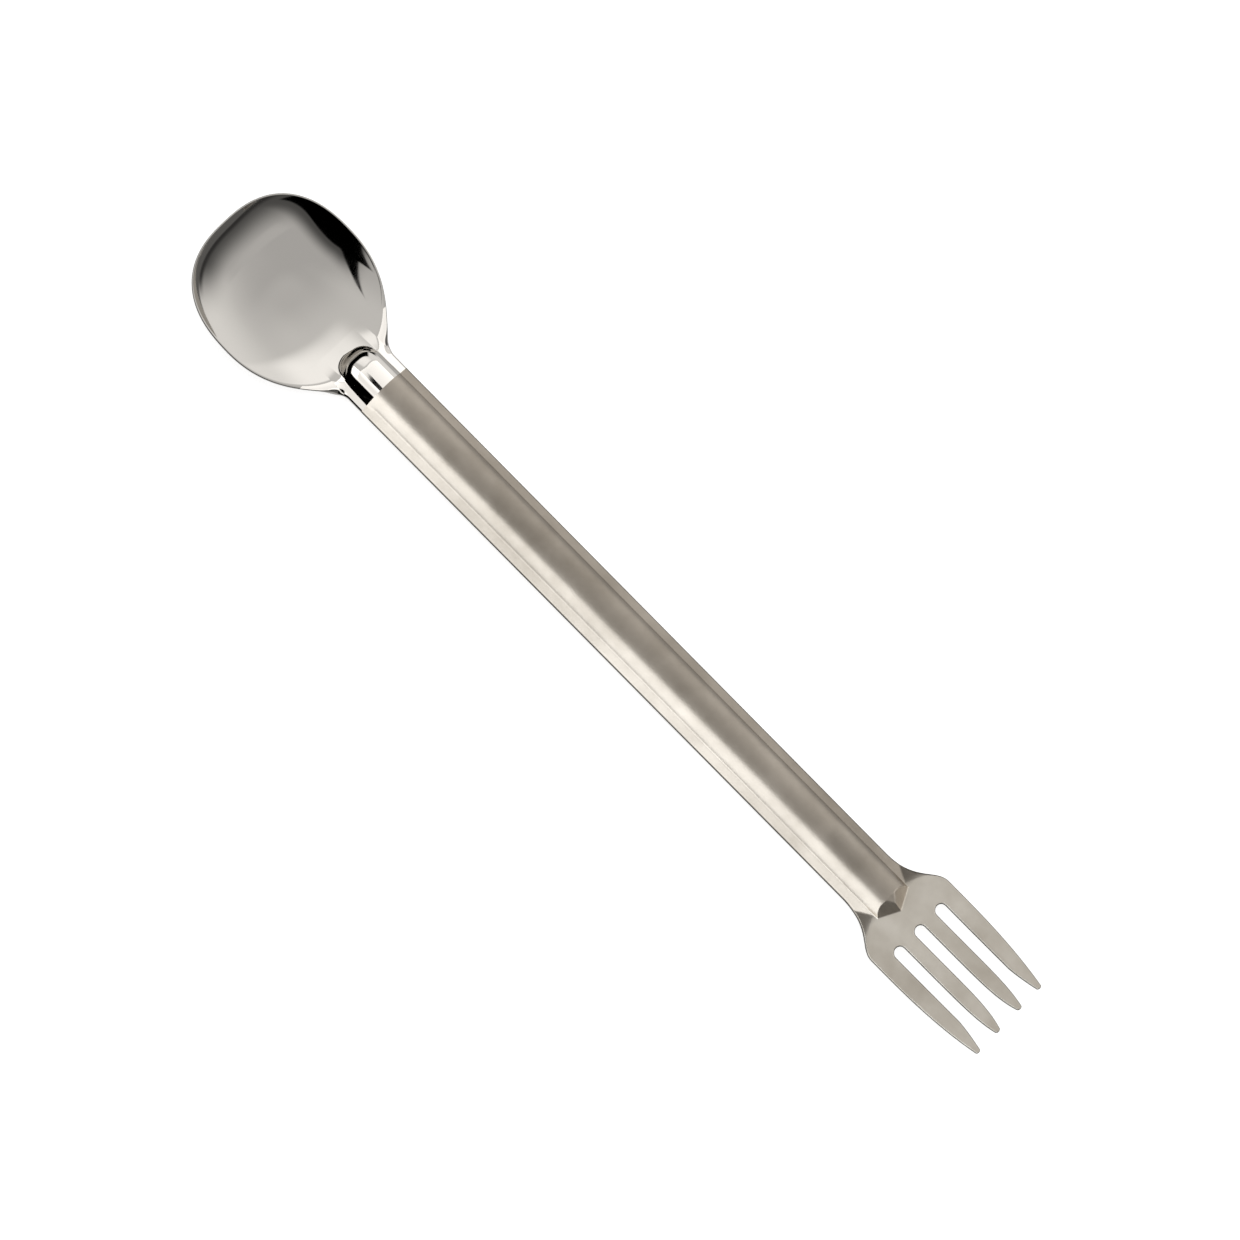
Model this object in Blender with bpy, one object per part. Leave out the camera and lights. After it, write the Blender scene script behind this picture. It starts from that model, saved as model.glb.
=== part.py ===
"""Long-handled eating tool: a spoon bowl and a four-tine fork on one titanium sheet.

Lengths are metres and +Z is up. The bowl points to -X and the fork to +X. The sheet
is described in its own straight frame, where the handle is level and its outer edges
are at height zero. The whole sheet is then tilted about Y, so that it lies as it does
on a table: on the flat under the bowl and on the handle's edges beside the fork.
"""
import math

import bmesh
import bpy
import numpy as np

MM = 0.001

# Sheet
LENGTH = 220 * MM               # tip of the bowl to the tips of the tines
SHEET = 1.0 * MM                # thickness of the titanium
SEAM = 0.3 * MM                 # gap between two neighbouring sections

# Bowl
BOWL_WIDTH = 34.7 * MM
BOWL_TIP_REACH = 18.4 * MM      # widest place to the tip
BOWL_HOLLOW_REACH = 19.8 * MM   # widest place to the hollow's end at the neck
BOWL_DEPTH = 5.2 * MM           # rim at the widest place down to the floor
RIM_BEND = 22.2 * MM            # widest place to where the rim starts to climb
RIM_LIFT = 3.0 * MM             # climb of the rim from that bend to the widest place
RIM_EASE = 1.2 * MM             # rounding of the bend, as a height
LIP_EASE = 0.4 * MM             # rounding of the hollow's edge, as a height
TIP_POWER = 2.48                # outline of the tip half: 2 is an ellipse, more is squarer
HOLLOW_POWER = 2.2              # how the floor climbs to the neck: 2 is evenly curved
NARROWING = 0.25                # how far the hollow follows the outline in to the neck
FLAT_SHARE = 0.12               # flat middle of the floor, as a share of the bowl's size

# Neck
NECK_REACH = 23.1 * MM          # widest place to the handle's full width
NECK_BOWL_LEAD = 14.2 * MM     # how long the outline stays wide, leaving the bowl
NECK_HANDLE_LEAD = 4.5 * MM    # how long it stays narrow, reaching the handle
BOWL_SEAM = 15.0 * MM           # widest place to the seam between bowl and neck
FLANGE_START = 13.5 * MM        # widest place to where the flanges start to slope
FLANGE_REACH = 23.1 * MM        # widest place to where they have their full slope
POLISH_REACH = 26.5 * MM        # widest place to the end of the polished neck

# Handle
HANDLE_WIDTH = 12.65 * MM
ARCH_WIDTH = 8.8 * MM           # crease to crease
ARCH_HEIGHT = 3.0 * MM          # above the creases
FLANGE_SLOPE = math.tan(math.radians(30))
CREASE_EASE = 0.25 * MM         # rounding of the creases, as a height

# Nose of the arch, above the neck
NOSE_END = 22.1 * MM            # widest place to where the arch has its full height
NOSE_REACH = 5.0 * MM           # length of the rounded nose
NOSE_POWER = 2.6                # 2 is round in plan, more is blunter

# Fork
FORK_WIDTH = 22.3 * MM
SLOT_WIDTH = 2.55 * MM
TINE_PITCH = 5.93 * MM
TINE_REACH = 24.65 * MM          # centre of the slots' round ends to the tips
SHOULDER_GAP = 2.9 * MM         # full width of the fork to that centre
FLARE_REACH = 12.7 * MM        # start of the flare to the fork's full width
FLARE_HANDLE_LEAD = 8.25 * MM   # how long the outline stays narrow
FLARE_FORK_LEAD = 3.7 * MM     # how long it stays wide
PALM_REACH = 5.4 * MM           # seam behind the palm to the slots' centre
FLARE_MARGIN = 2.2 * MM         # handle's seam ahead of the flare
TINE_RISE = 0.8 * MM            # tips above the palm
TIP_WIDTH = 1.05 * MM
OUTER_TIP_SPREAD = 17.7 * MM   # between the tips of the outer tines
INNER_TIP_SPREAD = 6.3 * MM    # between the tips of the inner tines

# End of the arch at the fork: two flat facets, measured back from the slots' centre
HIP_REACH = 9.9 * MM            # top of the first facet
TOE_REACH = 5.7 * MM            # point of the second facet
HIP_SLOPE = math.tan(math.radians(30))
TOE_SLOPE = math.tan(math.radians(41))
TOE_POINT_SLOPE = 0.45          # fall of the second facet to each side
HIP_EASE = 0.15 * MM            # rounding of the facets' edges, as a height
FOLD_REACH = 8.8 * MM           # fold between side facet and palm, at the crease
FOLD_SKEW = 0.444               # how far the fold runs towards the tips, going out
SIDE_FACET_SLOPE = 0.27
FOLD_EASE = 0.12 * MM

# Shares of the arch's half width, and of the width outside it
ARCH_SHARES = (0.2, 0.4, 0.58, 0.72, 0.81, 0.88, 0.95, 1.0)
FLANGE_SHARES = (0.12, 0.3, 0.52, 0.76, 1.0)
PLAIN_FLANGE_SHARES = (0.2, 1.0)
NOSE_SHARES = (1.24, 1.15, 1.09, 1.03, 0.97, 0.91, 0.83, 0.73, 0.61, 0.46, 0.3, 0.14,
               0.0, -0.2, -0.42, -0.7)
RING_SHARES = (0.11, 0.27, 0.42, 0.54, 0.64, 0.73, 0.81, 0.88, 0.94, 1.0)

# Each edge of a tine turns in from its start share, by its power, to the tip
OUTER_TINE_TAPER = ((0.71, 1.35), (0.0, 2.55))
INNER_TINE_TAPER = ((0.2, 5.0), (0.2, 5.0))

# Faces along each part
HANDLE_STEPS = 8
FORK_NECK_STEPS = 20
TIP_STEPS = 32
SIDE_STEPS = 10
SEAM_STEPS = 12
ROOT_STEPS = 8
TINE_STEPS = 12
SHOULDER_STEPS = 8
CURVE_STEPS = 400

# Places along the sheet, from its middle
BOWL_X = BOWL_TIP_REACH - LENGTH / 2
NOSE_X = BOWL_X + NOSE_END
BOWL_SEAM_X = BOWL_X + BOWL_SEAM
POLISH_X = BOWL_X + POLISH_REACH
ROOT_X = LENGTH / 2 - TINE_REACH
PALM_SEAM_X = ROOT_X - PALM_REACH
WIDE_X = ROOT_X - SHOULDER_GAP
FLARE_X = WIDE_X - FLARE_REACH
FLARE_SEAM_X = FLARE_X - FLARE_MARGIN

# The arch is a circular arc whose feet are the creases
ARCH_HALF = ARCH_WIDTH / 2
FLANGE = HANDLE_WIDTH / 2 - ARCH_HALF
CREASE = FLANGE * FLANGE_SLOPE
ARCH_RADIUS = (ARCH_HALF ** 2 + ARCH_HEIGHT ** 2) / (2 * ARCH_HEIGHT)
ARCH_CENTRE = CREASE + ARCH_HEIGHT - ARCH_RADIUS
FOOT_SINE = ARCH_HALF / ARCH_RADIUS
FOOT_SLOPE = FOOT_SINE / math.sqrt(1 - FOOT_SINE ** 2)

# The sheet rests on the bowl's flat and on the edges where the side facets start
FLOOR = RIM_LIFT - BOWL_DEPTH
FACET_START_X = (ROOT_X - FOLD_REACH + FOLD_SKEW * FLANGE) - CREASE / SIDE_FACET_SLOPE
FLANGE_UNDERSIDE = -SHEET * math.hypot(1, FLANGE_SLOPE)
REST_SLOPE = (FLANGE_UNDERSIDE - FLOOR + SHEET) / (FACET_START_X - BOWL_X)


def smooth_low(first, second, ease):
    """The lower of two heights, with the corner between them rounded."""
    near = np.maximum(ease - np.abs(first - second), 0.0)
    return np.minimum(first, second) - near * near / (4 * ease)


def smooth_high(first, second, ease):
    """The higher of two heights, with the corner between them rounded."""
    return -smooth_low(-first, -second, ease)


def level_curve(x, start, end, lead_out, lead_in):
    """Half width along a cubic curve that is level at both its ends."""
    t = np.linspace(0, 1, CURVE_STEPS)
    weights = ((1 - t) ** 3, 3 * t * (1 - t) ** 2, 3 * t * t * (1 - t), t ** 3)
    along = (start[0], start[0] + lead_out, end[0] - lead_in, end[0])
    across = (start[1], start[1], end[1], end[1])
    curve_x = sum(weight * value for weight, value in zip(weights, along))
    curve_y = sum(weight * value for weight, value in zip(weights, across))
    return np.interp(x, curve_x, curve_y)


def half_width(x):
    """Half the sheet's width, from the tip of the bowl to the tines."""
    tip_share = np.clip((BOWL_X - x) / BOWL_TIP_REACH, 0, 1)
    tip = BOWL_WIDTH / 2 * (1 - tip_share ** TIP_POWER) ** (1 / TIP_POWER)
    neck = level_curve(x, (BOWL_X, BOWL_WIDTH / 2), (BOWL_X + NECK_REACH, HANDLE_WIDTH / 2),
                       NECK_BOWL_LEAD, NECK_HANDLE_LEAD)
    flare = level_curve(x, (FLARE_X, HANDLE_WIDTH / 2), (WIDE_X, FORK_WIDTH / 2),
                        FLARE_HANDLE_LEAD, FLARE_FORK_LEAD)
    return np.where(x < BOWL_X, tip, np.where(x < 0, neck, flare))


def flange_height(y, slope, depth):
    """The sloping flanges, level past the handle's edges. Depth is below the top face."""
    out = np.clip(np.abs(y) - ARCH_HALF, 0, FLANGE)
    return slope * (FLANGE - out) - depth * np.hypot(1, slope)


def rim_height(x, y, depth):
    """The flanges, which flatten out and climb as the rim of the bowl."""
    fade = np.clip((x - BOWL_X - FLANGE_START) / (FLANGE_REACH - FLANGE_START), 0, 1)
    slope = FLANGE_SLOPE * fade * fade * (3 - 2 * fade)
    before_bend = BOWL_X + RIM_BEND - x
    climb = smooth_high(RIM_LIFT / RIM_BEND * before_bend, 0 * x, RIM_EASE)
    return flange_height(y, slope, depth) + climb


def wall_height(x, y, depth):
    """The hollow: a flat floor whose wall climbs to the rim by a power of the share."""
    tip_side = x < BOWL_X
    reach = np.where(tip_side, BOWL_TIP_REACH, BOWL_HOLLOW_REACH)
    power = np.where(tip_side, TIP_POWER, HOLLOW_POWER)
    along = np.abs(x - BOWL_X) / reach
    narrowed = NARROWING * half_width(x) + (1 - NARROWING) * BOWL_WIDTH / 2
    across = np.abs(y) / np.where(tip_side, BOWL_WIDTH / 2, narrowed)
    share = (along ** power + across ** TIP_POWER) ** (1 / TIP_POWER)
    climb = np.maximum(share - FLAT_SHARE, 0) / (1 - FLAT_SHARE)
    floor = FLOOR + REST_SLOPE * (x - BOWL_X)
    rise = rim_height(x, y, 0) - floor
    steepness = rise * TIP_POWER * climb ** (TIP_POWER - 1) / (1 - FLAT_SHARE)
    edge_distance = np.maximum(np.hypot(x - BOWL_X, y), SHEET) / np.maximum(share, FLAT_SHARE / 2)
    slope = steepness / edge_distance
    return floor + rise * climb ** TIP_POWER - depth * np.sqrt(1 + slope ** 2 + REST_SLOPE ** 2)


def arch_height(x, y, depth):
    """The arch: an arc across the handle, carried round a blunt nose at the neck."""
    ahead = np.maximum(NOSE_X - x, 0) * ARCH_HALF / NOSE_REACH
    out = (np.abs(y) ** NOSE_POWER + ahead ** NOSE_POWER) ** (1 / NOSE_POWER)
    radius = ARCH_RADIUS - depth
    round_out = np.minimum(out, radius * FOOT_SINE)
    return ARCH_CENTRE + np.sqrt(radius ** 2 - round_out ** 2) - FOOT_SLOPE * (out - round_out)


def hip_height(x, y, depth):
    """The two facets that end the arch at the fork. The second comes to a point."""
    first = CREASE + ARCH_HEIGHT - HIP_SLOPE * (x - ROOT_X + HIP_REACH)
    second = CREASE - TOE_SLOPE * (x - ROOT_X + TOE_REACH) - TOE_POINT_SLOPE * np.abs(y)
    return smooth_low(first - depth * math.hypot(1, HIP_SLOPE),
                      second - depth * math.hypot(1, TOE_SLOPE), HIP_EASE)


def palm_height(x, y, depth):
    """The flanges turn up along two side facets and level out in the fork's palm."""
    fold_x = ROOT_X - FOLD_REACH + FOLD_SKEW * (np.abs(y) - ARCH_HALF)
    facet = CREASE - SIDE_FACET_SLOPE * (fold_x - x) - depth * math.hypot(1, SIDE_FACET_SLOPE)
    flange = flange_height(y, FLANGE_SLOPE, depth)
    return smooth_low(CREASE - depth, smooth_high(flange, facet, FOLD_EASE), FOLD_EASE)


def sheet_height(x, y, depth):
    """Height of the sheet at plan points, at a depth below its top face."""
    spoon_base = smooth_low(wall_height(x, y, depth), rim_height(x, y, depth), LIP_EASE)
    base = np.where(x < 0, spoon_base, palm_height(x, y, depth))
    arch = smooth_low(arch_height(x, y, depth), hip_height(x, y, depth), HIP_EASE)
    return smooth_high(base, arch, CREASE_EASE)


def tine_height(x, y, depth):
    """The tines leave the palm level and rise a little towards their tips."""
    share = np.clip((x - ROOT_X) / TINE_REACH, 0, 1)
    return CREASE + TINE_RISE * share ** 2 - depth + 0 * y


def strips(rows, columns):
    """Faces of a grid of rows and columns of points."""
    return [(row * columns + column, (row + 1) * columns + column,
             (row + 1) * columns + column + 1, row * columns + column + 1)
            for row in range(rows - 1) for column in range(columns - 1)]


def across_points(x, flange_shares):
    """Stations across the sheet at x, closer together where the arch is steep."""
    outside = half_width(x) - ARCH_HALF
    right = [share * ARCH_HALF for share in ARCH_SHARES]
    right += [ARCH_HALF + share * outside for share in flange_shares]
    return [-y for y in reversed(right)] + [0.0] + right


def grid_plan(stations, flange_shares):
    """Plan points of a band of the sheet, and its faces."""
    rows = [[(x, y) for y in across_points(x, flange_shares)] for x in stations]
    return [point for row in rows for point in row], strips(len(rows), len(rows[0]))


def bowl_plan():
    """Rings of the bowl's outline, which is cut straight at the neck's seam."""
    seam_x = BOWL_SEAM_X - SEAM / 2
    seam_half = float(half_width(seam_x))
    seam = [(seam_x, seam_half * (2 * step / SEAM_STEPS - 1)) for step in range(SEAM_STEPS)]
    side_x = np.linspace(seam_x, BOWL_X, SIDE_STEPS, endpoint=False)
    side = [(x, float(half_width(x))) for x in side_x]
    tip = []
    for step in range(TIP_STEPS + 1):
        angle = math.pi * step / TIP_STEPS
        across = math.copysign(abs(math.cos(angle)) ** (2 / TIP_POWER), math.cos(angle))
        tip.append((BOWL_X - BOWL_TIP_REACH * math.sin(angle) ** (2 / TIP_POWER),
                    BOWL_WIDTH / 2 * across))
    outline = seam + side + tip + [(x, -y) for x, y in reversed(side[1:])]
    points = [(BOWL_X + share * (x - BOWL_X), share * y)
              for share in RING_SHARES for x, y in outline]
    count = len(outline)
    faces = [tuple(range(count))]
    for ring in range(len(RING_SHARES) - 1):
        for step in range(count):
            after = (step + 1) % count
            faces.append((ring * count + step, (ring + 1) * count + step,
                          (ring + 1) * count + after, ring * count + after))
    return points, faces


def palm_plan():
    """Outline of the palm: flared sides, and the round ends of three slots."""
    start_x = PALM_SEAM_X + SEAM / 2
    end_x = ROOT_X - SEAM / 2
    side_x = np.linspace(start_x, WIDE_X, SHOULDER_STEPS)
    right = [(x, float(half_width(x))) for x in side_x] + [(end_x, FORK_WIDTH / 2)]
    slots = []
    for slot_y in (TINE_PITCH, 0, -TINE_PITCH):
        widest = math.asin(SEAM / SLOT_WIDTH)
        for step in range(ROOT_STEPS + 1):
            angle = math.pi / 2 - widest - (math.pi - 2 * widest) * step / ROOT_STEPS
            slots.append((ROOT_X - SLOT_WIDTH / 2 * math.cos(angle),
                          slot_y + SLOT_WIDTH / 2 * math.sin(angle)))
    outline = right + slots + [(x, -y) for x, y in reversed(right)]
    return outline, [tuple(range(len(outline)))]


def tine_plan(root_edges, tip_y, tapers):
    """Rows of two points along a tine, from its inner to its outer edge."""
    points = []
    for step in range(TINE_STEPS + 1):
        share = 1 - (1 - step / TINE_STEPS) ** 2
        x = ROOT_X + SEAM / 2 + (TINE_REACH - SEAM / 2) * share
        for edge, side, (start, power) in zip(root_edges, (-1, 1), tapers):
            turn = max(share - start, 0) / (1 - start)
            points.append((x, edge + (tip_y + side * TIP_WIDTH / 2 - edge) * turn ** power))
    return points, strips(TINE_STEPS + 1, 2)


def titanium(name, color, roughness):
    """A bare metal finish."""
    material = bpy.data.materials.new(name)
    material.use_nodes = True
    shader = material.node_tree.nodes["Principled BSDF"]
    shader.inputs["Base Color"].default_value = (*color, 1)
    shader.inputs["Metallic"].default_value = 1
    shader.inputs["Roughness"].default_value = roughness
    return material


def sheet_piece(name, plan, height, material, parent):
    """Lay plan faces on the sheet's top face, then extrude them to its underside."""
    points, faces = plan
    points = np.array(points)
    tops = height(points[:, 0], points[:, 1], 0)
    model = bmesh.new()
    corners = [model.verts.new((x, y, z)) for (x, y), z in zip(points, tops)]
    for face in faces:
        model.faces.new([corners[index] for index in face])
    lower = bmesh.ops.extrude_face_region(model, geom=model.faces[:])["geom"]
    for item in lower:
        if isinstance(item, bmesh.types.BMVert):
            item.co.z = float(height(item.co.x, item.co.y, SHEET))
    bmesh.ops.recalc_face_normals(model, faces=model.faces[:])
    mesh = bpy.data.meshes.new(name)
    model.to_mesh(mesh)
    model.free()
    mesh.materials.append(material)
    mesh.shade_smooth()
    mesh.set_sharp_from_angle(angle=math.radians(35))
    piece = bpy.data.objects.new(name, mesh)
    bpy.context.scene.collection.objects.link(piece)
    piece.parent = parent
    return piece


def rest_frame():
    """The empty that tilts the sheet until it lies on the level, origin below its middle."""
    tilt = math.atan(REST_SLOPE)
    flat_height = FLOOR - SHEET * math.hypot(1, REST_SLOPE)
    tip_height = float(sheet_height(BOWL_X - BOWL_TIP_REACH, 0.0, 0))
    tine_end = float(tine_height(LENGTH / 2, 0.0, 0))
    frame = bpy.data.objects.new("rest_frame", None)
    bpy.context.scene.collection.objects.link(frame)
    frame.rotation_euler.y = tilt
    frame.location.x = -(tip_height + tine_end) / 2 * math.sin(tilt)
    frame.location.z = BOWL_X * math.sin(tilt) - flat_height * math.cos(tilt)
    return frame


def main():
    for item in list(bpy.data.objects):
        bpy.data.objects.remove(item)
    frame = rest_frame()
    polished = titanium("polished_titanium", (0.78, 0.77, 0.74), 0.06)
    blasted = titanium("blasted_titanium", (0.55, 0.52, 0.48), 0.42)

    sheet_piece("spoon_bowl", bowl_plan(), sheet_height, polished, frame)

    neck_start = BOWL_SEAM_X + SEAM / 2
    neck_rows = [neck_start] + [NOSE_X - share * NOSE_REACH for share in NOSE_SHARES]
    neck_rows += [POLISH_X - SEAM / 2]
    sheet_piece("spoon_neck", grid_plan(neck_rows, FLANGE_SHARES), sheet_height, polished, frame)

    handle_rows = np.linspace(POLISH_X + SEAM / 2, FLARE_SEAM_X - SEAM / 2, HANDLE_STEPS + 1)
    handle_plan = grid_plan(handle_rows, PLAIN_FLANGE_SHARES)
    sheet_piece("handle", handle_plan, sheet_height, blasted, frame)

    flare_rows = np.linspace(FLARE_SEAM_X + SEAM / 2, PALM_SEAM_X - SEAM / 2, FORK_NECK_STEPS + 1)
    flare_plan = grid_plan(flare_rows, FLANGE_SHARES)
    sheet_piece("fork_neck", flare_plan, sheet_height, blasted, frame)

    sheet_piece("fork_palm", palm_plan(), sheet_height, blasted, frame)

    inner_edges = (SLOT_WIDTH / 2, TINE_PITCH - SLOT_WIDTH / 2)
    outer_edges = (TINE_PITCH + SLOT_WIDTH / 2, FORK_WIDTH / 2)
    inner = tine_plan(inner_edges, INNER_TIP_SPREAD / 2, INNER_TINE_TAPER)
    outer = tine_plan(outer_edges, OUTER_TIP_SPREAD / 2, OUTER_TINE_TAPER)
    for number, (points, faces), side in ((1, outer, 1), (2, inner, 1), (3, inner, -1), (4, outer, -1)):
        mirrored = [(x, side * y) for x, y in points]
        sheet_piece(f"tine_{number}", (mirrored, faces), tine_height, blasted, frame)


main()
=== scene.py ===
"""Looks of a long-handled spoon and fork that is pressed from one titanium sheet.

Lengths are metres. The sheet is worked out in its own straight frame, level along the
handle, and is then tilted as it lies on a table. Each surface is a height over points of
its plan, and the pieces meet in shared lines with shared normals, so no joint shows.
"""
import math

import bpy
import numpy as np
from mathutils import Matrix, Vector


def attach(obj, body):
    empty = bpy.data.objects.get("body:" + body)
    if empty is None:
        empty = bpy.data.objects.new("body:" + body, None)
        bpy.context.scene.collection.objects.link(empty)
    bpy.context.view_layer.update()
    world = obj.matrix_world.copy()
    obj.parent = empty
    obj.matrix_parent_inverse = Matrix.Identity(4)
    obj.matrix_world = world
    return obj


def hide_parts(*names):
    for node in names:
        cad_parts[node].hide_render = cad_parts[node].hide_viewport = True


MM = 0.001

# Sheet
LENGTH = 220 * MM
SHEET = 1.0 * MM
EDGE_RADIUS = 0.38 * MM         # the cut edges are tumbled round

# Bowl
BOWL_WIDTH = 34.7 * MM
BOWL_TIP_REACH = 18.4 * MM
BOWL_HOLLOW_REACH = 19.8 * MM
BOWL_DEPTH = 5.2 * MM
RIM_BEND = 22.2 * MM
RIM_LIFT = 3.0 * MM
RIM_EASE = 1.2 * MM
LIP_EASE = 0.4 * MM
TIP_POWER = 2.48
HOLLOW_POWER = 2.2
NARROWING = 0.25
FLAT_SHARE = 0.12

# Neck
NECK_REACH = 23.1 * MM
NECK_BOWL_LEAD = 14.2 * MM
NECK_HANDLE_LEAD = 4.5 * MM
BOWL_SEAM = 15.0 * MM
FLANGE_START = 13.5 * MM
FLANGE_REACH = 23.1 * MM
POLISH_REACH = 26.5 * MM
CURL_REACH = 20.3 * MM          # widest place to the curled corners
CURL_LENGTH = 1.2 * MM
CURL_MARGIN = 1.5 * MM          # the curl reaches in this far from the edge
CURL_DEPTH = 1.2 * MM

# Handle
HANDLE_WIDTH = 12.65 * MM
ARCH_WIDTH = 8.8 * MM
ARCH_HEIGHT = 3.0 * MM
FLANGE_SLOPE = math.tan(math.radians(30))
CREASE_EASE = 0.25 * MM
NECK_EASE = 1.3 * MM            # the neck's crease on the -Y side is softer
NECK_EASE_END = 1.5 * MM        # and tightens over this length of the handle
NECK_EASE_WIDTH = 2 * MM        # and over this width at the middle

# Nose of the arch
NOSE_END = 22.1 * MM
NOSE_REACH = 5.0 * MM
NOSE_POWER = 2.6

# Fork
FORK_WIDTH = 22.3 * MM
SLOT_WIDTH = 2.55 * MM
TINE_PITCH = 5.93 * MM
TINE_REACH = 24.65 * MM
SHOULDER_GAP = 2.9 * MM
FLARE_REACH = 12.7 * MM
FLARE_HANDLE_LEAD = 8.25 * MM
FLARE_FORK_LEAD = 3.7 * MM
PALM_REACH = 5.4 * MM
FLARE_MARGIN = 2.2 * MM
TINE_RISE = 0.8 * MM
TIP_WIDTH = 1.05 * MM
TIP_ROUND = 0.32 * MM
TIP_THINNING = SHEET / 3        # each face of a tine closes in by this at its tip
OUTER_TIP_SPREAD = 17.7 * MM
INNER_TIP_SPREAD = 6.3 * MM
OUTER_TINE_TAPER = ((0.71, 1.35), (0.0, 2.55))
INNER_TINE_TAPER = ((0.2, 5.0), (0.2, 5.0))

# End of the arch at the fork
HIP_REACH = 9.9 * MM
TOE_REACH = 5.7 * MM
HIP_SLOPE = math.tan(math.radians(30))
TOE_SLOPE = math.tan(math.radians(41))
TOE_POINT_SLOPE = 0.45
HIP_EASE = 0.15 * MM
FOLD_REACH = 8.8 * MM
FOLD_SKEW = 0.444
SIDE_FACET_SLOPE = 0.27
FOLD_EASE = 0.12 * MM
PLATE_FADE = 2 * MM             # the plate's paler tint, a painted light, sets in over this length
PLATE_DROP = 0.3 * MM           # and over this height below it
PLATE_MARGIN_SHARE = 0.2        # once past this share of that height

# Places along the sheet, from its middle
BOWL_X = BOWL_TIP_REACH - LENGTH / 2
NOSE_X = BOWL_X + NOSE_END
BOWL_SEAM_X = BOWL_X + BOWL_SEAM
POLISH_X = BOWL_X + POLISH_REACH
ROOT_X = LENGTH / 2 - TINE_REACH
PALM_SEAM_X = ROOT_X - PALM_REACH
WIDE_X = ROOT_X - SHOULDER_GAP
FLARE_X = WIDE_X - FLARE_REACH
FLARE_SEAM_X = FLARE_X - FLARE_MARGIN

ARCH_HALF = ARCH_WIDTH / 2
FLANGE = HANDLE_WIDTH / 2 - ARCH_HALF
CREASE = FLANGE * FLANGE_SLOPE
ARCH_RADIUS = (ARCH_HALF ** 2 + ARCH_HEIGHT ** 2) / (2 * ARCH_HEIGHT)
ARCH_CENTRE = CREASE + ARCH_HEIGHT - ARCH_RADIUS
FOOT_SINE = ARCH_HALF / ARCH_RADIUS
FOOT_SLOPE = FOOT_SINE / math.sqrt(1 - FOOT_SINE ** 2)

FLOOR = RIM_LIFT - BOWL_DEPTH
FACET_START_X = (ROOT_X - FOLD_REACH + FOLD_SKEW * FLANGE) - CREASE / SIDE_FACET_SLOPE
FLANGE_UNDERSIDE = -SHEET * math.hypot(1, FLANGE_SLOPE)
REST_SLOPE = (FLANGE_UNDERSIDE - FLOOR + SHEET) / (FACET_START_X - BOWL_X)

# Fineness of the surfaces
GRID = 0.16 * MM
FINE_GRID = 0.11 * MM
SIDE_GRID = 2.4 * GRID          # along the bowl's sides
HANDLE_GRID = 2 * MM            # along the handle, which is straight
NUDGE = 0.004 * MM              # step to either side when a slope is measured
SAME_PLACE = 1e-5 * MM          # points that lie closer together are one
CURVE_STEPS = 6000
TURNS = np.linspace(0, math.pi / 2, 7)   # round the edge, from the face to the cut
TIP_POINTS = 241                # round the bowl's tip
RING_COUNT = 92                 # from the bowl's middle to its edge
FIRST_RING_SHARE = 0.01
RING_POWER = 1.35               # above 1, the rings lie closer towards the edge
ROOT_POINTS = 25                # round a quarter of a slot's end
LANE_POINTS = 20                # across a lane of the palm, and across a tine
TINE_ROWS = 90
TINE_ROW_POWER = 1.5            # above 1, the rows lie closer towards the tip
TIP_ROWS = 12
TIP_TURN = 1.45                 # how far they go round the tip, just short of a right angle
TINE_EDGE_SHARE = 0.36          # the edge radius is at most this share of a tine's width
STEEPEST_LEAN = 1.3

# Camera, as the photograph sees the sheet
CAMERA_ROLL = math.radians(10)
CAMERA_TURN = math.radians(45.2)
CAMERA_DISTANCE = 700 * MM
FRAME_WIDTH = 244.5 * MM
SENSOR = 36.0
NEAREST, FARTHEST = 0.01, 20.0  # what lies between them is seen
AIM_RIGHT = 0.74 * MM
AIM_UP = 0.9 * MM


def smooth_low(first, second, ease):
    """The lower of two heights, with the corner between them rounded."""
    near = np.maximum(ease - np.abs(first - second), 0.0)
    return np.minimum(first, second) - near * near / (4 * ease)


def smooth_high(first, second, ease):
    """The higher of two heights, with the corner between them rounded."""
    return -smooth_low(-first, -second, ease)


def level_curve(x, start, end, lead_out, lead_in):
    """Half width along a cubic curve that is level at both its ends."""
    t = np.linspace(0, 1, CURVE_STEPS)
    weights = ((1 - t) ** 3, 3 * t * (1 - t) ** 2, 3 * t * t * (1 - t), t ** 3)
    along = (start[0], start[0] + lead_out, end[0] - lead_in, end[0])
    across = (start[1], start[1], end[1], end[1])
    curve_x = sum(weight * value for weight, value in zip(weights, along))
    curve_y = sum(weight * value for weight, value in zip(weights, across))
    return np.interp(x, curve_x, curve_y)


def half_width(x):
    """Half the sheet's width: superellipse tip, curved neck, straight handle, flared fork."""
    tip_share = np.clip((BOWL_X - x) / BOWL_TIP_REACH, 0, 1)
    tip = BOWL_WIDTH / 2 * (1 - tip_share ** TIP_POWER) ** (1 / TIP_POWER)
    neck = level_curve(x, (BOWL_X, BOWL_WIDTH / 2), (BOWL_X + NECK_REACH, HANDLE_WIDTH / 2),
                       NECK_BOWL_LEAD, NECK_HANDLE_LEAD)
    flare = level_curve(x, (FLARE_X, HANDLE_WIDTH / 2), (WIDE_X, FORK_WIDTH / 2),
                        FLARE_HANDLE_LEAD, FLARE_FORK_LEAD)
    return np.where(x < BOWL_X, tip, np.where(x < 0, neck, flare))


def flange_height(y, slope, depth):
    """The sloping flanges, level past the handle's edges. Depth is below the top face."""
    out = np.clip(np.abs(y) - ARCH_HALF, 0, FLANGE)
    return slope * (FLANGE - out) - depth * np.hypot(1, slope)


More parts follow.
